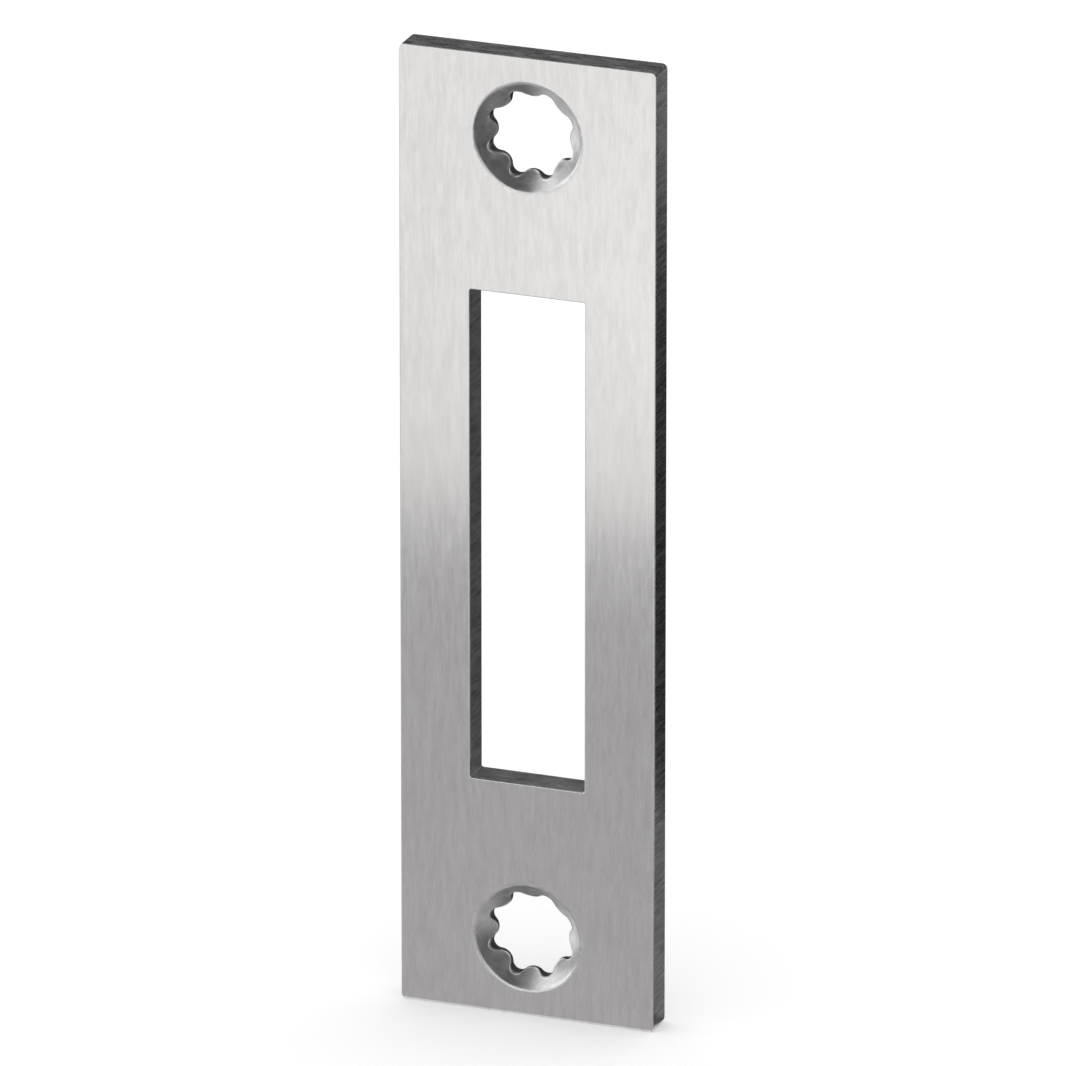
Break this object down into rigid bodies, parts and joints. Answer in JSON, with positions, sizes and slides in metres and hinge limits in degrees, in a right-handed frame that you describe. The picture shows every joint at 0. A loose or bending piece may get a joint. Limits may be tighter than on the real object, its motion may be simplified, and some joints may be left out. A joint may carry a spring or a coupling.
{
  "type": "door strike plate",
  "caption": "Flat brushed-steel strike plate with a tall bolt slot between countersunk star-edged screw holes, screwed to a door frame to take a lock bolt.",
  "frame": {"origin": "middle of the plate's back face, which lies against the door frame", "axes": "+Z along the plate's length, upwards; -Y out of the front face; X across the width"},
  "size_m": [0.024, 0.003, 0.09],
  "materials": {
    "brushed_steel": "brushed along the length"
  },
  "bodies": {
    "root": {"strike_plate": "brushed_steel"}
  },
  "joints": []
}
